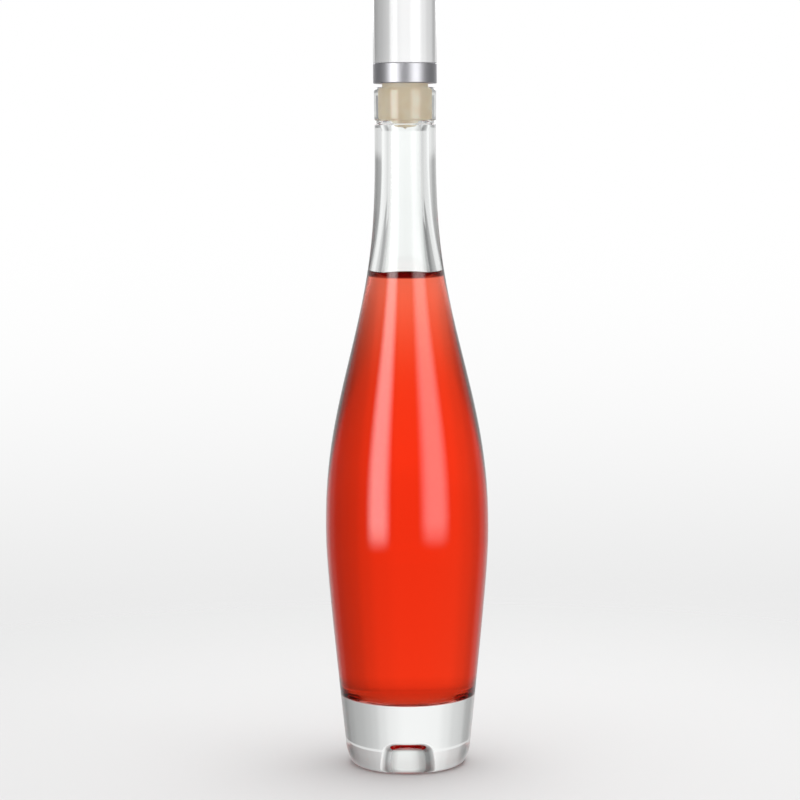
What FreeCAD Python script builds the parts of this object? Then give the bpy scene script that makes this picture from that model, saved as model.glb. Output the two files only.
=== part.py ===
import FreeCAD, Part
import math
import os

# Ice wine bottle of 500 ml with its wine and its stopper, in millimetres.
# The origin is the centre of the foot, on the plane that the bottle stands on, and +Z is up.
# Every piece is turned about the Z axis, so each one is drawn as half a section and revolved.

# Glass, outside
glass_height = 318.5      # foot to lip
foot_radius = 28.5        # of the tapered flank where it would meet the ground
belly_radius = 38.3       # widest place
belly_height = 112.0      # height of the widest place
neck_radius = 14.2        # just under the finish
finish_radius = 14.5      # band around the mouth
finish_taper = 0.2        # how much narrower the band is at its lower edge
finish_height = 15.2
groove_radius = 13.4      # narrow waist between the band and the neck
groove_height = 1.8
heel_width = 4.0          # the rounding at the foot is taller than wide
heel_height = 9.5
neck_rounding = 0.5
finish_top_rounding = 1.7
finish_bottom_rounding = 0.7

# Shape of the long curves: numbers without a unit
flank_bend = 0.17         # near 0 gives a straight taper with a sharp belly, larger a rounder one
shoulder_lean = 1.14      # above 1 moves the slope of the shoulder up
shoulder_power = 3.5      # larger gives a longer straight neck
curve_stations = 26       # points on each long curve

# Glass, inside
body_wall = 4.5           # at belly and foot
neck_wall = 6.9           # heavy glass in the neck
floor_height = 32.0       # thick solid base
floor_rounding = 8.0      # corner between the floor and the wall
mouth_radius = 8.2        # bore that the plug sits in
mouth_rounding = 0.8
punt_radius = 9.2         # small push-up in the middle of the foot
punt_top_radius = 7.2
punt_height = 12.0
punt_top_rounding = 4.4
punt_mouth_rounding = 2.0

# Wine
headspace_height = 70.0   # from the surface of the wine to the top of the neck
wine_clearance = 0.1      # all round, so that the solids don't overlap

# Stopper: a soft plug, a metal disc on it and a clear cap on the disc
plug_clearance = 0.05     # between the plug and the bore
plug_end_clearance = 0.2  # between the part that fills the bore and the bore's lower end
plug_shoulder_radius = 10.7
plug_shoulder_height = 1.8
tip_clearance = 0.3       # between the tapered end of the plug and the narrower bore around it
tip_taper = 1.8           # how much narrower that end gets
tip_length = 3.8
nub_radius = 1.8          # small point left by the mould
nub_length = 1.1
disc_radius = 14.8
disc_height = 9.3
disc_bevel = 0.5
cap_radius = 14.8
cap_height = 35.0
cap_top_bevel = 1.2
cap_foot_bevel = 0.3

# Heights that follow from these
finish_bottom = glass_height - finish_height
neck_top = finish_bottom - groove_height
disc_bottom = glass_height + plug_shoulder_height
cap_bottom = disc_bottom + disc_height
bore_radius = neck_radius - neck_wall
wine_level = neck_top - headspace_height

axis_foot = FreeCAD.Vector(0, 0, 0)
up = FreeCAD.Vector(0, 0, 1)


def flank_radius(z, foot, belly):
    # upright at the belly, running into a straight taper towards the foot
    drop = (belly_height - z) / belly_height
    bend = math.hypot(drop, flank_bend) - flank_bend
    whole = math.hypot(1, flank_bend) - flank_bend
    return belly - (belly - foot) * bend / whole


def shoulder_radius(z, belly, neck):
    # upright at the belly, an S over the shoulder, and upright again in the neck
    rise = (z - belly_height) / (neck_top - belly_height)
    fullness = max(math.cos(math.pi / 2 * rise ** shoulder_lean), 0)
    return neck + (belly - neck) * fullness ** shoulder_power


def long_curve(bottom, foot, belly, neck):
    # side of the bottle from the height called bottom to the top of the neck
    points = []
    for i in range(curve_stations + 1):
        z = bottom + (neck_top - bottom) * i / curve_stations
        if z < belly_height:
            points.append(FreeCAD.Vector(flank_radius(z, foot, belly), 0, z))
        else:
            points.append(FreeCAD.Vector(shoulder_radius(z, belly, neck), 0, z))
    curve = Part.BSplineCurve()
    curve.interpolate(points)
    return curve.toShape(), points[0], points[-1]


def lines(points):
    corners = [FreeCAD.Vector(r, 0, z) for r, z in points]
    return [Part.makeLine(a, b) for a, b in zip(corners, corners[1:])]


def turned(edges):
    return Part.Face(Part.Wire(edges)).revolve(axis_foot, up, 360)


def turned_outline(points):
    return turned(lines(points + points[:1]))


def circles_at(solid, radius, z):
    # the circular edges of a turned solid at one radius and height
    found = []
    for edge in solid.Edges:
        if isinstance(edge.Curve, Part.Circle):
            near_height = abs(edge.Curve.Center.z - z) < 0.01
            near_radius = abs(edge.Curve.Radius - radius) < 0.01
            if near_height and near_radius:
                found.append(edge)
    return found


def heel(low):
    # from the flat of the foot up to the flank, upright enough there to run on smoothly
    flat = FreeCAD.Vector(foot_radius - heel_width, 0, 0)
    corner = FreeCAD.Vector(foot_radius, 0, 0)
    fullness = 0.55
    curve = Part.BezierCurve()
    curve.setPoles([
        flat,
        flat + (corner - flat) * fullness,
        low + (corner - low) * fullness,
        low,
    ])
    return curve.toShape()


def glass_blank():
    # the outside of the bottle, as if it were solid
    side, low, high = long_curve(heel_height, foot_radius, belly_radius, neck_radius)
    finish_low = finish_radius - finish_taper
    foot = lines([(0, 0), (foot_radius - heel_width, 0)]) + [heel(low)]
    top = lines([
        (high.x, high.z),
        (groove_radius, neck_top),
        (groove_radius, finish_bottom),
        (finish_low, finish_bottom),
        (finish_radius, glass_height),
        (0, glass_height),
        (0, 0),
    ])
    blank = turned(foot + [side] + top)
    blank = blank.makeFillet(neck_rounding, circles_at(blank, high.x, neck_top))
    blank = blank.makeFillet(finish_bottom_rounding, circles_at(blank, finish_low, finish_bottom))
    return blank.makeFillet(finish_top_rounding, circles_at(blank, finish_radius, glass_height))


def cavity(inset):
    # the inside of the bottle, made smaller all round by inset
    floor = floor_height + inset
    inner_foot = foot_radius - body_wall - inset
    inner_belly = belly_radius - body_wall - inset
    side, low, high = long_curve(floor, inner_foot, inner_belly, bore_radius - inset)
    mouth = mouth_radius - inset
    base = lines([(0, floor), (low.x, low.z)])
    top = lines([
        (high.x, high.z),
        (mouth, finish_bottom),
        (mouth, glass_height),
        (0, glass_height),
        (0, floor),
    ])
    hollow = turned(base + [side] + top)
    return hollow.makeFillet(floor_rounding - inset, circles_at(hollow, low.x, floor))


def punt():
    cone = Part.makeCone(punt_radius, punt_top_radius, punt_height)
    return cone.makeFillet(punt_top_rounding, circles_at(cone, punt_top_radius, punt_height))


def glass_bottle():
    bottle = glass_blank().cut(cavity(0)).cut(punt())
    bottle = bottle.makeFillet(mouth_rounding, circles_at(bottle, mouth_radius, glass_height))
    return bottle.makeFillet(punt_mouth_rounding, circles_at(bottle, punt_radius, 0))


def ice_wine():
    below_level = Part.makeCylinder(2 * belly_radius, wine_level)
    return cavity(wine_clearance).common(below_level)


def stopper_plug():
    shank = mouth_radius - plug_clearance
    shank_end = finish_bottom + plug_end_clearance
    tip_end = shank_end - tip_length
    tip_radius = min(bore_radius, mouth_radius) - tip_clearance
    return turned_outline([
        (0, disc_bottom),
        (plug_shoulder_radius, disc_bottom),
        (plug_shoulder_radius, glass_height),
        (shank, glass_height),
        (shank, shank_end),
        (tip_radius, shank_end),
        (tip_radius - tip_taper, tip_end),
        (nub_radius, tip_end),
        (0, tip_end - nub_length),
    ])


def bevelled_cylinder(radius, bottom, height, low_bevel, high_bevel):
    top = bottom + height
    return turned_outline([
        (0, bottom),
        (radius - low_bevel, bottom),
        (radius, bottom + low_bevel),
        (radius, top - high_bevel),
        (radius - high_bevel, top),
        (0, top),
    ])


def metal_disc():
    return bevelled_cylinder(disc_radius, disc_bottom, disc_height, disc_bevel, disc_bevel)


def clear_cap():
    return bevelled_cylinder(cap_radius, cap_bottom, cap_height, cap_foot_bevel, cap_top_bevel)


pieces = {
    "glass_bottle": glass_bottle(),
    "ice_wine": ice_wine(),
    "stopper_plug": stopper_plug(),
    "metal_disc": metal_disc(),
    "clear_cap": clear_cap(),
}

os.makedirs("parts", exist_ok=True)
for node, shape in pieces.items():
    solid, = shape.Solids
    solid.exportStep("parts/" + node + ".step")
    box = solid.BoundBox
    print(node, "valid", solid.isValid(), "ml %.2f" % (solid.Volume / 1000),
          "z %.2f to %.2f" % (box.ZMin, box.ZMax))
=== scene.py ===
import bpy
import math
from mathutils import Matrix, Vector


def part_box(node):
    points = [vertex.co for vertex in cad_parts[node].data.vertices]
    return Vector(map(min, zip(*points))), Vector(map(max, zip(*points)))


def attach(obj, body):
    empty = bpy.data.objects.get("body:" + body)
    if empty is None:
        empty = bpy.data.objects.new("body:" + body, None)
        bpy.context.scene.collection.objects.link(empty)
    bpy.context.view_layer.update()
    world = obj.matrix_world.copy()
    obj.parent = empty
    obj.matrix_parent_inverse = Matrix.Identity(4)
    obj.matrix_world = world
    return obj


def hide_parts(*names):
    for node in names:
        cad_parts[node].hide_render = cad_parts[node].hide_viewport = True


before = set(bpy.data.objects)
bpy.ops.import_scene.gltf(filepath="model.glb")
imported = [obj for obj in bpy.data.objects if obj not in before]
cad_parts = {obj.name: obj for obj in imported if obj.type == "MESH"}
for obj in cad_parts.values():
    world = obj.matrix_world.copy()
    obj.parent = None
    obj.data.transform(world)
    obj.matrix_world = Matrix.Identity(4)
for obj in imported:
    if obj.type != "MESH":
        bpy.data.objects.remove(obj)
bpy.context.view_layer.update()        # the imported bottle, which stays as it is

mm = 0.001               # sizes in the dictionaries below are in millimetres

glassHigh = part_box("glass_bottle")[1]
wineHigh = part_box("ice_wine")[1]
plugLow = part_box("stopper_plug")[0]
discLow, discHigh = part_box("metal_disc")
capLow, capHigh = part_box("clear_cap")
print("frame loaded, bottle", round(glassHigh[2] / mm, 1), "mm tall")


class Wire:
    # an output of a node: a sum written with it adds Math nodes
    def __init__(self, graph, socket):
        self.graph = graph
        self.socket = socket

    def math(self, operation, *others):
        values = dict(enumerate((self,) + others))
        return self.graph.node("ShaderNodeMath", {"operation": operation}, values)

    def __add__(self, other):
        return self.math("ADD", other)

    def __sub__(self, other):
        return self.math("SUBTRACT", other)

    def __mul__(self, other):
        return self.math("MULTIPLY", other)

    def __truediv__(self, other):
        return self.math("DIVIDE", other)

    def __pow__(self, other):
        return self.math("POWER", other)

    def __rsub__(self, other):
        return self * -1 + other

    __radd__ = __add__
    __rmul__ = __mul__


class Graph:
    # the nodes of one material, lamp or world
    def __init__(self, owner):
        owner.use_nodes = True
        self.tree = owner.node_tree
        self.tree.nodes.clear()

    def node(self, kind, settings=None, values=None, output=0):
        made = self.tree.nodes.new(kind)
        for name, setting in (settings or {}).items():
            if name == "stops":
                setStops(made.color_ramp, setting)
            else:
                setattr(made, name, setting)
        for name, value in (values or {}).items():
            if isinstance(value, Wire):
                self.tree.links.new(value.socket, made.inputs[name])
            else:
                made.inputs[name].default_value = value
        return Wire(self, made.outputs[output]) if made.outputs else None

    def objectPlace(self):
        return self.node("ShaderNodeTexCoord", output="Object")

    def lightPath(self, output):
        return self.node("ShaderNodeLightPath", output=output)

    def split(self, vector):
        separated = self.node("ShaderNodeSeparateXYZ", values={0: vector})
        return [Wire(self, socket) for socket in separated.socket.node.outputs]

    def vector(self, x, y, z):
        return self.node("ShaderNodeCombineXYZ", values={0: x, 1: y, 2: z})

    def noise(self, place, scale, detail=2.0):
        return self.node("ShaderNodeTexNoise", values={"Vector": place, "Scale": scale, "Detail": detail})

    def blend(self, factor, first, second):
        return self.node("ShaderNodeMix", {"data_type": "RGBA"}, {0: factor, 6: first, 7: second}, output=2)

    def fit(self, value, low, high, newLow=0.0, newHigh=1.0):
        values = {0: value, 1: low, 2: high, 3: newLow, 4: newHigh}
        return self.node("ShaderNodeMapRange", {"interpolation_type": "SMOOTHSTEP"}, values)

    def ramp(self, value, stops):
        return self.node("ShaderNodeValToRGB", {"stops": stops}, {0: value})

    def bump(self, height, strength, distance):
        values = {"Height": height, "Strength": strength, "Distance": distance}
        return self.node("ShaderNodeBump", values=values)

    def principled(self, values):
        return self.node("ShaderNodeBsdfPrincipled", values=values)

    def absorption(self, perMetre):
        # the colour and density that take away this much red, green and blue
        density = max(perMetre)
        colour = [1 - share / density for share in perMetre] + [1]
        return self.node("ShaderNodeVolumeAbsorption", values={"Color": colour, "Density": density})

    def finish(self, surface, volume=None):
        values = {"Surface": surface}
        if volume:
            values["Volume"] = volume
        self.node("ShaderNodeOutputMaterial", values=values)


def setStops(ramp, stops):
    ramp.interpolation = "EASE"
    while len(ramp.elements) < len(stops):
        ramp.elements.new(0.5)
    for element, (place, brightness) in zip(ramp.elements, stops):
        element.position = place
        element.color = grey(brightness)


def grey(value):
    return (value, value, value, 1)


def newMaterial(name):
    material = bpy.data.materials.new(name)
    return material, Graph(material)


def roundCorners(corners, arcSteps=8):
    # corners are (radius, height, rounding); each rounding becomes an arc
    points = []
    for i, (r, z, rounding) in enumerate(corners):
        corner = Vector((r, z))
        if not rounding:
            points.append(corner)
            continue
        back = (Vector(corners[i - 1][:2]) - corner).normalized()
        ahead = (Vector(corners[i + 1][:2]) - corner).normalized()
        halfAngle = back.angle(ahead) / 2
        centre = corner + (back + ahead).normalized() * rounding / math.sin(halfAngle)
        reach = rounding / math.tan(halfAngle)
        start = corner + back * reach - centre
        end = corner + ahead * reach - centre
        for step in range(arcSteps + 1):
            points.append(centre + start.slerp(end, step / arcSteps) * rounding)
    return points


def spaceOut(points, longest=2.5):
    # divides long straight stretches, so that shading stays even
    spaced = [points[0]]
    for a, b in zip(points, points[1:]):
        pieces = max(1, math.ceil((b - a).length / longest))
        for piece in range(1, pieces + 1):
            spaced.append(a.lerp(b, piece / pieces))
    return spaced


def turnOutline(name, points, steps=224):
    # a single point is extruded along the outline, and that line is spun about the axis
    bpy.ops.object.select_all(action="DESELECT")
    bpy.ops.mesh.primitive_plane_add(size=mm)
    piece = bpy.context.object
    piece.name = name
    bpy.ops.object.mode_set(mode="EDIT")
    bpy.ops.mesh.merge(type="CENTER")
    bpy.ops.transform.translate(value=(points[0].x * mm, 0, points[0].y * mm))
    for a, b in zip(points, points[1:]):
        move = ((b.x - a.x) * mm, 0, (b.y - a.y) * mm)
        bpy.ops.mesh.extrude_region_move(TRANSFORM_OT_translate={"value": move})
    bpy.ops.mesh.select_all(action="SELECT")
    bpy.ops.mesh.spin(steps=steps, angle=math.tau, center=(0, 0, 0), axis=(0, 0, 1))
    bpy.ops.mesh.select_all(action="SELECT")
    bpy.ops.mesh.remove_doubles(threshold=0.002 * mm)        # closes the seam and the poles
    bpy.ops.mesh.normals_make_consistent(inside=False)
    bpy.ops.object.mode_set(mode="OBJECT")
    bpy.ops.object.shade_smooth_by_angle(angle=math.radians(35))
    return piece


bottleValues = {
    "height": glassHigh[2] / mm,
    "footRadius": 28.5,              # where the flank would meet the ground
    "bellyRadius": glassHigh[0] / mm,
    "bellyHeight": 112.0,
    "neckRadius": 14.2,
    "neckRounding": 0.5,
    "finishRadius": 14.5,            # the band around the mouth
    "finishTaper": 0.2,
    "finishHeight": 15.2,
    "finishRounding": 0.7,
    "grooveRadius": 13.4,            # the waist under that band
    "grooveHeight": 1.8,
    "grooveRounding": 0.3,
    "heelWidth": 4.0,                # the foot's corner is taller than wide
    "heelHeight": 9.5,
    "heelFullness": 0.55,
    "lipRounding": 1.7,
    "flankBend": 0.17,               # larger gives a rounder belly
    "shoulderLean": 1.14,            # above 1 moves the slope of the shoulder up
    "shoulderPower": 3.5,            # larger gives a longer straight neck
    "bodyWall": 4.5,
    "neckWall": 6.9,
    "floorHeight": 32.0,
    "floorRounding": 8.0,
    "mouthRadius": 8.2,
    "mouthRounding": 0.8,
    "boreStep": 3.0,                 # how far below the neck's top the bore has narrowed
    "boreRounding": 0.9,
    "puntRadius": 9.2,               # the push-up in the foot
    "puntTopRadius": 7.2,
    "puntHeight": 12.0,
    "puntRounding": 2.0,
    "puntTopRounding": 4.4,
    "refraction": 1.52,
    "tint": (0.985, 0.995, 0.99, 1),
    "tintDeep": (0.965, 0.985, 0.975, 1),
    "tintScale": 9,
    "smearScale": 120,               # faint marks on the polish
    "smearRoughness": 0.02,
    "waveScale": 28,
    "waviness": 0.05,
    "waveHeight": 0.05,
}


def finishBottom():
    return bottleValues["height"] - bottleValues["finishHeight"]


def neckTop():
    return finishBottom() - bottleValues["grooveHeight"]


def flankRadius(z, foot, belly):
    # upright at the belly, running into a straight taper towards the foot
    bend = bottleValues["flankBend"]
    drop = (bottleValues["bellyHeight"] - z) / bottleValues["bellyHeight"]
    return belly - (belly - foot) * (math.hypot(drop, bend) - bend) / (math.hypot(1, bend) - bend)


def shoulderRadius(z, belly, neck):
    # upright at the belly, an S over the shoulder, and upright again in the neck
    rise = (z - bottleValues["bellyHeight"]) / (neckTop() - bottleValues["bellyHeight"])
    fullness = max(math.cos(math.pi / 2 * rise ** bottleValues["shoulderLean"]), 0)
    return neck + (belly - neck) * fullness ** bottleValues["shoulderPower"]


def sideRadius(z, foot, belly, neck):
    if z < bottleValues["bellyHeight"]:
        return flankRadius(z, foot, belly)
    return shoulderRadius(z, belly, neck)


def outerSide(z):
    s = bottleValues
    return sideRadius(z, s["footRadius"], s["bellyRadius"], s["neckRadius"])


def innerSide(z, reach=0.0):
    # the inside of the wall, or so far into it
    s = bottleValues
    foot = s["footRadius"] - s["bodyWall"] + reach
    belly = s["bellyRadius"] - s["bodyWall"] + reach
    neck = s["neckRadius"] - s["neckWall"] + reach
    return sideRadius(z, foot, belly, neck)


def longCurve(radiusAt, low, high, stations=72):
    heights = [low + (high - low) * i / stations for i in range(stations + 1)]
    return [(radiusAt(z), z, 0) for z in heights]


def floorCurveTop():
    # clear above the rounding between the floor and the wall
    return bottleValues["floorHeight"] + 1.5 * bottleValues["floorRounding"]


def heelCurve(steps=14):
    # a curve on four points, from the flat of the foot up to the flank
    s = bottleValues
    corner = Vector((s["footRadius"], 0))
    flat = Vector((s["footRadius"] - s["heelWidth"], 0))
    flank = Vector((flankRadius(s["heelHeight"], s["footRadius"], s["bellyRadius"]), s["heelHeight"]))
    nearFlat = flat.lerp(corner, s["heelFullness"])
    nearFlank = flank.lerp(corner, s["heelFullness"])
    points = []
    for i in range(steps):
        t = i / steps
        low = flat * (1 - t) ** 3 + nearFlat * 3 * t * (1 - t) ** 2
        high = nearFlank * 3 * t ** 2 * (1 - t) + flank * t ** 3
        points.append((*(low + high), 0))
    return points


def glassOutline():
    s = bottleValues
    bore = s["neckRadius"] - s["neckWall"]
    boreTop = neckTop() - s["boreStep"]
    floor = s["floorHeight"]
    short = 2                # the long curves end this far below the corners above them
    foot = [
        (0, s["puntHeight"], 0),
        (s["puntTopRadius"], s["puntHeight"], s["puntTopRounding"]),
        (s["puntRadius"], 0, s["puntRounding"]),
    ]
    mouth = [
        (s["neckRadius"], neckTop(), s["neckRounding"]),
        (s["grooveRadius"], neckTop(), s["grooveRounding"]),
        (s["grooveRadius"], finishBottom(), s["grooveRounding"]),
        (s["finishRadius"] - s["finishTaper"], finishBottom(), s["finishRounding"]),
        (s["finishRadius"], s["height"], s["lipRounding"]),
        (s["mouthRadius"], s["height"], s["mouthRounding"]),
        (s["mouthRadius"], finishBottom(), s["boreRounding"]),
        (bore, boreTop, s["boreRounding"]),
    ]
    outside = longCurve(outerSide, s["heelHeight"], neckTop() - short)
    inside = longCurve(innerSide, floorCurveTop(), boreTop - short)
    well = [(innerSide(floor), floor, s["floorRounding"]), (0, floor, 0)]
    return spaceOut(roundCorners(foot + heelCurve() + outside + mouth + inside[::-1] + well))


def clearGlass(name, mirrorTint):
    look = bottleValues
    material, graph = newMaterial(name)
    place = graph.objectPlace()
    tints = graph.noise(place, look["tintScale"])
    smears = graph.noise(place, look["smearScale"])
    waves = graph.noise(place, look["waveScale"], 1.0)
    surface = graph.principled({
        "Base Color": graph.blend(tints, look["tint"], look["tintDeep"]),
        "Roughness": graph.fit(smears, 0.3, 0.8, 0.0, look["smearRoughness"]),
        "IOR": look["refraction"],
        "Transmission Weight": 1.0,
        "Specular Tint": mirrorTint,
        "Normal": graph.bump(waves, look["waviness"], look["waveHeight"] * mm),
    })
    graph.finish(surface)
    return material


def makeBottle():
    bottle = turnOutline("bottleGlass", glassOutline())
    bottle.data.materials.append(clearGlass("clearGlass", grey(1)))
    bottle.data.materials.append(clearGlass("wettedGlass", grey(0)))
    wetTop = wineHigh[2] / mm + wineValues["creepAbove"]
    wetBottom = bottleValues["floorHeight"] - 1
    for face in bottle.data.polygons:
        r = face.center.xy.length / mm
        z = face.center.z / mm
        if wetBottom < z < wetTop and r < innerSide(z) + 1:
            face.material_index = 1        # wine lies on this glass, so it mirrors nothing
    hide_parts("glass_bottle")
    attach(bottle, "root")
    print("bottle made,", len(bottle.data.polygons), "faces")


wineValues = {
    "reach": 0.1,                           # into the glass, so that no air shows between
    "creepAbove": 1.2,                      # its edge stands this far above the level
    "dipBelow": 2.4,                        # and its middle lies this far below
    "creepWidth": 3.0,
    "refraction": 1.345,
    "tint": (1.0, 0.115, 0.047, 1),
    "tintDeep": (1.0, 0.098, 0.040, 1),
    "tintScale": 14,
    "paintedLightTop": (1.0, 0.24, 0.17, 1),        # painted light: paler where the bottle narrows and light crosses less wine
    "topHeights": (175, 235),
    "paintedShadeLow": (0.66, 0.06, 0.025, 1),      # painted shade: darker low down, over the bottle's floor
    "lowHeights": (34, 41),
    "paintedShadeRim": (0.10, 0.004, 0.002, 1),     # painted shade: a dark band where it climbs the glass
    "rimHeights": (229.6, 230.4),
    "takenPerMetre": (0.2, 18.0, 30.0),     # how much red, green and blue it swallows
}


def wineOutline(surfaceSteps=40):
    reach = wineValues["reach"]
    floor = bottleValues["floorHeight"] - reach
    edge = wineHigh[2] / mm + wineValues["creepAbove"]
    level = wineHigh[2] / mm - wineValues["dipBelow"]
    side = longCurve(lambda z: innerSide(z, reach), floorCurveTop() - reach, edge)
    well = [(0, floor, 0), (innerSide(floor, reach), floor, bottleValues["floorRounding"] + reach)]
    points = spaceOut(roundCorners(well + side))
    wall = side[-1][0]
    for step in range(1, surfaceSteps + 1):
        r = wall * (1 - step / surfaceSteps) ** 1.6        # closer together near the wall
        creep = (edge - level) * math.exp((r - wall) / wineValues["creepWidth"])
        points.append(Vector((r, level + creep)))
    return points


def tintBetween(graph, z, heights, colour, tint, above=True):
    # blends a painted tint in over a span of heights; the wine uses it only for painted light and shade
    low, high = (height * mm for height in heights)
    factor = graph.fit(z, low, high, 0.0, 1.0) if above else graph.fit(z, low, high, 1.0, 0.0)
    return graph.blend(factor, colour, tint)


def wineMaterial():
    look = wineValues
    material, graph = newMaterial("redWine")
    place = graph.objectPlace()
    z = graph.split(place)[2]
    colour = graph.blend(graph.noise(place, look["tintScale"]), look["tint"], look["tintDeep"])
    # painted light: paler towards the top, where light crosses less wine
    colour = tintBetween(graph, z, look["topHeights"], colour, look["paintedLightTop"])
    # painted shade: darker low down, over the bottle's floor
    colour = tintBetween(graph, z, look["lowHeights"], colour, look["paintedShadeLow"], above=False)
    # painted shade: a dark band where the wine climbs the glass
    colour = tintBetween(graph, z, look["rimHeights"], colour, look["paintedShadeRim"])
    surface = graph.principled({
        "Base Color": colour,
        "Roughness": 0.0,
        "IOR": look["refraction"],
        "Transmission Weight": 1.0,
        "Specular Tint": grey(0),        # against the glass it mirrors nothing
    })
    graph.finish(surface, graph.absorption(look["takenPerMetre"]))
    return material


def makeWine():
    wine = turnOutline("wineFill", wineOutline())
    wine.data.materials.append(wineMaterial())
    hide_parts("ice_wine")
    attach(wine, "root")
    print("wine made,", len(wine.data.polygons), "faces")


plugValues = {
    "reach": 0.05,                  # into the glass and the disc
    "shoulderRadius": 10.7,
    "shoulderRounding": 0.3,
    "shankRounding": 0.25,
    "tipRadius": 7.0,
    "tipEndRadius": 5.2,
    "tipRounding": 0.8,
    "tipLength": 3.8,
    "nubRadius": 1.8,               # the small point left by the mould
    "nubRounding": 0.2,
    "nubLength": 1.1,
    "colour": (0.93, 0.77, 0.55, 1),
    "colourPale": (0.96, 0.83, 0.63, 1),
    "cloudScale": 180,
    "grainScale": 2600,
    "grainHeight": 0.04,
    "roughness": (0.42, 0.6),
    "glow": 0.15,                   # how much light spreads under its skin
    "glowReach": (4, 2.5, 1.5),     # for red, green and blue
}


def plugOutline():
    s = plugValues
    lip = bottleValues["height"]
    top = discLow[2] / mm + s["reach"]
    shank = bottleValues["mouthRadius"] + s["reach"]
    nubBottom = plugLow[2] / mm
    tipBottom = nubBottom + s["nubLength"]
    tipTop = tipBottom + s["tipLength"]
    corners = [
        (0, top, 0),
        (s["shoulderRadius"], top, 0),
        (s["shoulderRadius"], lip, s["shoulderRounding"]),
        (shank, lip, 0),
        (shank, tipTop, s["shankRounding"]),
        (s["tipRadius"], tipTop, s["shankRounding"]),
        (s["tipEndRadius"], tipBottom, s["tipRounding"]),
        (s["nubRadius"], tipBottom, s["nubRounding"]),
        (0, nubBottom, 0),
    ]
    return spaceOut(roundCorners(corners, arcSteps=5), longest=1.5)


def plugMaterial():
    look = plugValues
    material, graph = newMaterial("softPlug")
    place = graph.objectPlace()
    clouds = graph.noise(place, look["cloudScale"], 3.0)
    grain = graph.noise(place, look["grainScale"])
    surface = graph.principled({
        "Base Color": graph.blend(graph.fit(clouds, 0.3, 0.7), look["colour"], look["colourPale"]),
        "Roughness": graph.fit(grain, 0.2, 0.8, *look["roughness"]),
        "Subsurface Weight": look["glow"],
        "Subsurface Radius": [length * mm for length in look["glowReach"]],
        "Subsurface Scale": 1.0,
        "Normal": graph.bump(grain, 0.25, look["grainHeight"] * mm),
    })
    graph.finish(surface)
    return material


def makePlug():
    plug = turnOutline("stopperPlug", plugOutline(), steps=160)
    plug.data.materials.append(plugMaterial())
    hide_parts("stopper_plug")
    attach(plug, "root")
    print("plug made,", len(plug.data.polygons), "faces")


def clearSelection(mesh):
    for elements in (mesh.polygons, mesh.edges, mesh.vertices):
        elements.foreach_set("select", [False] * len(elements))


def selectRim(piece, height):
    # the edges that lie wholly at this height
    mesh = piece.data
    clearSelection(mesh)
    bpy.context.tool_settings.mesh_select_mode = (False, True, False)
    for edge in mesh.edges:
        ends = [mesh.vertices[i].co for i in edge.vertices]
        edge.select = all(abs(end.z - height) < 0.01 * mm for end in ends)


def selectEnd(piece, up):
    # the flat face that looks up, or down where up is -1
    clearSelection(piece.data)
    bpy.context.tool_settings.mesh_select_mode = (False, False, True)
    for face in piece.data.polygons:
        face.select = face.normal.z * up > 0.99


def bevelledCylinder(name, radius, bottom, top, footBevel, topBevel):
    # a plain cylinder whose rims are bevelled and whose end faces are inset
    bpy.ops.object.select_all(action="DESELECT")
    bpy.ops.mesh.primitive_cylinder_add(vertices=192, radius=radius, depth=top - bottom,
                                        location=(0, 0, (top + bottom) / 2))
    piece = bpy.context.object
    piece.name = name
    bpy.ops.object.transform_apply(location=True, rotation=False, scale=False)
    for height, bevel in ((bottom, footBevel), (top, topBevel)):
        selectRim(piece, height)
        bpy.ops.object.mode_set(mode="EDIT")
        bpy.ops.mesh.bevel(offset=bevel * mm, segments=5, affect="EDGES", profile=0.5)
        bpy.ops.object.mode_set(mode="OBJECT")
    for up in (1, -1):
        selectEnd(piece, up)
        bpy.ops.object.mode_set(mode="EDIT")
        bpy.ops.mesh.inset(thickness=0.4 * mm)
        bpy.ops.mesh.inset(thickness=radius / 2)
        bpy.ops.object.mode_set(mode="OBJECT")
    bpy.ops.object.shade_smooth_by_angle(angle=math.radians(35))
    bpy.ops.object.modifier_add(type="WEIGHTED_NORMAL")        # keeps the long wall straight in its shading
    piece.modifiers[0].keep_sharp = True
    bpy.ops.object.modifier_apply(modifier=piece.modifiers[0].name)
    return piece


discValues = {
    "bevel": 0.5,
    "colour": (0.48, 0.48, 0.505, 1),
    "colourPale": (0.55, 0.55, 0.575, 1),
    "metal": 0.8,
    "roughness": (0.37, 0.48),
    "ringScale": 9000,          # fine turning marks around the axis
    "ringHeight": 0.01,
}


def discMaterial():
    look = discValues
    material, graph = newMaterial("satinMetal")
    x, y, z = graph.split(graph.objectPlace())
    radius = (x * x + y * y) ** 0.5
    rings = graph.noise(graph.vector(radius, 0.0, z), look["ringScale"])
    surface = graph.principled({
        "Base Color": graph.blend(rings, look["colour"], look["colourPale"]),
        "Metallic": look["metal"],
        "Roughness": graph.fit(rings, 0.2, 0.8, *look["roughness"]),
        "Normal": graph.bump(rings, 0.2, look["ringHeight"] * mm),
    })
    graph.finish(surface)
    return material


def makeDisc():
    bevel = discValues["bevel"]
    disc = bevelledCylinder("metalDisc", discHigh[0], discLow[2], discHigh[2], bevel, bevel)
    disc.data.materials.append(discMaterial())
    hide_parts("metal_disc")
    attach(disc, "root")
    print("disc made,", len(disc.data.polygons), "faces")


capValues = {
    "sunk": 0.05,               # into the disc, which it is glued to
    "footBevel": 0.3,
    "topBevel": 1.2,
    "refraction": 1.49,
    "tint": (0.965, 0.97, 0.975, 1),
    "tintScuffed": (0.985, 0.985, 0.985, 1),
    "scuffScale": 400,
    "scuffRoughness": 0.03,
    "waveScale": 40,
    "waviness": 0.05,
    "waveHeight": 0.02,
}


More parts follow.
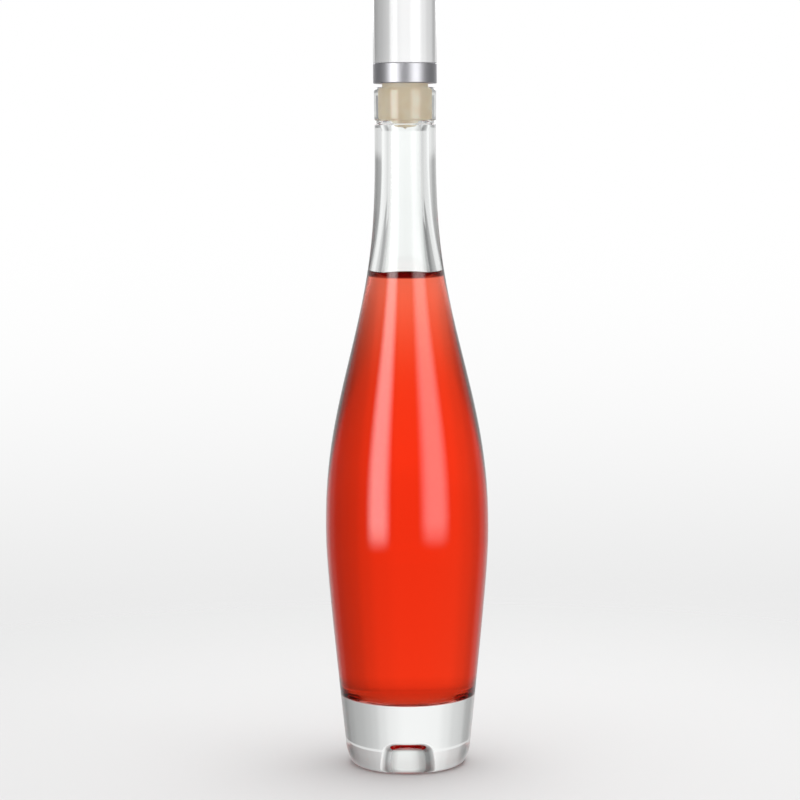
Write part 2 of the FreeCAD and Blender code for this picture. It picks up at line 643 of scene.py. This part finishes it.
def capMaterial():
    look = capValues
    material, graph = newMaterial("clearPlastic")
    place = graph.objectPlace()
    scuffs = graph.noise(place, look["scuffScale"], 4.0)
    waves = graph.noise(place, look["waveScale"])
    surface = graph.principled({
        "Base Color": graph.blend(scuffs, look["tint"], look["tintScuffed"]),
        "Roughness": graph.fit(scuffs, 0.4, 0.8, 0.0, look["scuffRoughness"]),
        "IOR": look["refraction"],
        "Transmission Weight": 1.0,
        "Normal": graph.bump(waves, look["waviness"], look["waveHeight"] * mm),
    })
    graph.finish(surface)
    return material


def makeCap():
    bottom = capLow[2] - capValues["sunk"] * mm
    bevels = (capValues["footBevel"], capValues["topBevel"])
    cap = bevelledCylinder("clearCap", capHigh[0], bottom, capHigh[2], *bevels)
    cap.data.materials.append(capMaterial())
    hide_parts("clear_cap")
    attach(cap, "root")
    print("cap made,", len(cap.data.polygons), "faces")


# heights in the background are sines of the angle above the floor
backgroundValues = {
    "softLight": 0.80,              # even light on everything
    "seenLowest": 0.80,             # how bright it is low down, rising to white
    "seenRise": (-0.26, 0.0),
    "levelEven": 0.55,              # how even it is at the height of the neck
    "levelRise": (-0.014, 0.0),
    "levelFall": (0.026, 0.042),
    "asideEven": 0.6,               # and at the sides of the band around the mouth
    "asideFall": (0.065, 0.085),
    "asideDegrees": (58, 66),
    "steepEven": 0.7,               # and far down
    "steepFall": (-0.42, -0.36),
    # its brightness through glass: (degrees to the right of straight behind, brightness)
    "behindGlass": [
        (-180, 0.50), (-140, 0.85), (-125, 0.60), (-105, 0.70), (-90, 0.90), (-78, 0.62), (-60, 0.40),
        (-53, 0.44), (-48, 0.55), (-45, 0.66), (-34, 0.72), (-26, 0.86), (-18, 0.98), (-7, 1.0), (2, 1.0),
        (10, 0.92), (16, 0.79), (22, 0.63), (27, 0.56), (34, 0.49), (40, 0.46), (50, 0.38), (60, 0.26),
        (105, 0.32), (120, 0.60), (135, 0.90), (150, 0.72), (180, 0.50),
    ],
    # by how much that changes with height: (height, factor)
    "behindHeights": [
        (-1.0, 0.60), (-0.70, 0.90), (-0.45, 0.97), (-0.37, 0.93), (-0.33, 0.86), (-0.28, 1.0),
        (-0.25, 1.05), (-0.20, 1.07), (-0.165, 1.01), (-0.10, 0.98), (-0.05, 1.0), (0.0, 1.04),
        (0.026, 1.04), (0.05, 0.99), (0.12, 0.99), (0.30, 0.90), (0.45, 0.65), (1.0, 0.45),
    ],
    # how bright the room is in polished surfaces, by degrees again
    "mirrored": [
        (-180, 0.04), (-90, 0.03), (-62, 0.05), (-45, 0.24), (-25, 0.60), (25, 0.60), (45, 0.32),
        (62, 0.05), (90, 0.04), (180, 0.04),
    ],
}


def byDegrees(stops):
    return [(0.5 + angle / 360, brightness) for angle, brightness in stops]


def behindTheGlass(graph, turn, z):
    # what refracted light meets: bands around the bottle, evened out at some heights
    b = backgroundValues
    level = graph.fit(z, *b["levelRise"], 0.0, 1.0)
    neck = level * graph.fit(z, *b["levelFall"], b["levelEven"], 0.0)
    aside = graph.fit((turn - 0.5).math("ABSOLUTE"), *(angle / 360 for angle in b["asideDegrees"]))
    mouth = level * graph.fit(z, *b["asideFall"], b["asideEven"], 0.0) * aside
    steep = graph.fit(z, *b["steepFall"], b["steepEven"], 0.0)
    even = neck.math("MAXIMUM", steep).math("MAXIMUM", mouth)
    around = graph.blend(even, graph.ramp(turn, byDegrees(b["behindGlass"])), grey(1))
    # a ramp holds at most 1, so the factors are halved and their product is doubled
    halved = [(0.5 + height / 2, factor / 2) for height, factor in b["behindHeights"]]
    upDown = graph.ramp(z / 2 + 0.5, halved)
    product = graph.node("ShaderNodeVectorMath", {"operation": "MULTIPLY"}, {0: around, 1: upDown})
    return graph.node("ShaderNodeVectorMath", {"operation": "SCALE"}, {0: product, "Scale": 2.0})


def makeWorld():
    world = bpy.data.worlds.new("paleStudio")
    bpy.context.scene.world = world
    graph = Graph(world)
    x, y, z = graph.split(graph.node("ShaderNodeTexCoord", output="Generated"))
    turn = x.math("ARCTAN2", y) / math.tau + 0.5       # 0.5 is straight behind the bottle
    seenStops = [(0.0, backgroundValues["seenLowest"]), (1.0, 1.0)]
    seen = graph.ramp(graph.fit(z, *backgroundValues["seenRise"]), seenStops)
    mirror = graph.ramp(turn, byDegrees(backgroundValues["mirrored"]))
    through = behindTheGlass(graph, turn, z)
    direct = 1 - graph.lightPath("Diffuse Depth").math("MINIMUM", 1.0)        # not by way of a matt surface
    softLight = grey(backgroundValues["softLight"])
    colour = graph.blend(graph.lightPath("Is Glossy Ray") * direct, softLight, mirror)
    colour = graph.blend(graph.lightPath("Is Transmission Ray") * direct, colour, through)
    colour = graph.blend(graph.lightPath("Is Camera Ray"), colour, seen)
    light = graph.node("ShaderNodeBackground", values={"Color": colour, "Strength": 1.0})
    graph.node("ShaderNodeOutputWorld", values={"Surface": light})


floorValues = {
    "radius": 0.9,              # in metres, as are all sizes of the studio
    "colour": grey(0.66),
    "solidTo": 0.16,
    "goneBy": 0.6,              # where it has faded into the background
    "below": 0.00005,           # just clear of the foot
}


def makeFloor():
    bpy.ops.object.select_all(action="DESELECT")
    bpy.ops.mesh.primitive_circle_add(vertices=96, radius=floorValues["radius"], fill_type="NGON")
    floor = bpy.context.object
    floor.name = "paleFloor"
    floor.location.z = -floorValues["below"]
    material, graph = newMaterial("paleFloor")
    x, y, z = graph.split(graph.objectPlace())
    distance = (x * x + y * y) ** 0.5
    fade = graph.fit(distance, floorValues["solidTo"], floorValues["goneBy"])
    lit = graph.lightPath("Diffuse Depth").math("MINIMUM", 1.0)
    throughGlass = graph.lightPath("Is Glossy Ray") * (1 - lit)        # refracted rays count as glossy too
    paint = graph.node("ShaderNodeBsdfDiffuse", values={"Color": floorValues["colour"]})
    clear = graph.node("ShaderNodeBsdfTransparent")
    factor = fade.math("MAXIMUM", throughGlass)
    graph.finish(graph.node("ShaderNodeMixShader", values={0: factor, 1: paint, 2: clear}))
    floor.data.materials.append(material)


cardValues = {
    "distance": 0.75,
    "softSides": 0.38,          # the share of the width over which each side fades
    "softEnds": 0.14,
    # name, turn in degrees to the right of the camera, width, lower edge, height, brightness (1 is white)
    "cards": [
        ("cardLeft", -40.5, 0.56, -0.06, 0.75, 5.6),
        ("cardRight", 39.5, 0.72, -0.05, 0.75, 3.7),
        ("cardBackRight", 160, 0.26, 0.36, 0.5, 5.0),
        ("cardBackLeft", -160, 0.26, 0.36, 0.5, 5.0),
    ],
}


def fadeEdges(graph, across, share):
    return graph.fit(across, 0.0, share) * graph.fit(1 - across, 0.0, share)


def softenCard(lamp):
    # dims the light towards its rims, as a diffuser's cloth does
    graph = Graph(lamp)
    across, up = graph.split(graph.node("ShaderNodeNewGeometry", output="Parametric"))[:2]
    sides = fadeEdges(graph, across, cardValues["softSides"])
    ends = fadeEdges(graph, up, cardValues["softEnds"])
    light = graph.node("ShaderNodeEmission", values={"Strength": sides * ends})
    graph.node("ShaderNodeOutputLight", values={"Surface": light})


def makeCards():
    # tall soft lights around the bottle, which only polished surfaces show
    distance = cardValues["distance"]
    for name, degrees, width, bottom, height, brightness in cardValues["cards"]:
        turn = math.radians(degrees)
        place = (distance * math.sin(turn), -distance * math.cos(turn), bottom + height / 2)
        bpy.ops.object.light_add(type="AREA", location=place, rotation=(math.pi / 2, 0, turn))
        lamp = bpy.context.object
        lamp.name = name
        lamp.data.shape = "RECTANGLE"
        lamp.data.size = width
        lamp.data.size_y = height
        lamp.data.energy = brightness * math.pi * width * height
        softenCard(lamp.data)
        lamp.visible_camera = False
        lamp.visible_diffuse = False
        lamp.visible_transmission = False


topLampValues = {
    "place": (0.1, 0.15, 1.15),
    "size": 0.9,
    "watts": 9.0,
}


def makeTopLamp():
    bpy.ops.object.light_add(type="AREA", location=topLampValues["place"])
    lamp = bpy.context.object
    lamp.name = "topLamp"
    lamp.data.size = topLampValues["size"]
    lamp.data.energy = topLampValues["watts"]
    lamp.visible_camera = False
    lamp.visible_transmission = False


cameraValues = {
    "place": (0, -1.1691, 0.285),
    "turn": (84.516, 0.29, 0.1215),       # degrees about X, Y and Z
    "lens": 112.5,
    "sensorWidth": 36,
    "nearest": 0.05,
}


def makeCamera():
    turn = [math.radians(angle) for angle in cameraValues["turn"]]
    bpy.ops.object.camera_add(location=cameraValues["place"], rotation=turn)
    made = bpy.context.object
    made.data.lens = cameraValues["lens"]
    made.data.sensor_width = cameraValues["sensorWidth"]
    made.data.clip_start = cameraValues["nearest"]
    bpy.context.scene.camera = made


def setView():
    scene = bpy.context.scene
    scene.view_settings.view_transform = "Standard"
    scene.cycles.max_bounces = 24            # light turns many times inside the thick foot
    scene.cycles.glossy_bounces = 16
    scene.cycles.transmission_bounces = 20


makeCamera()
makeWorld()
makeFloor()
makeCards()
makeTopLamp()
print("studio made")
makeBottle()
makeWine()
makePlug()
makeDisc()
makeCap()
setView()
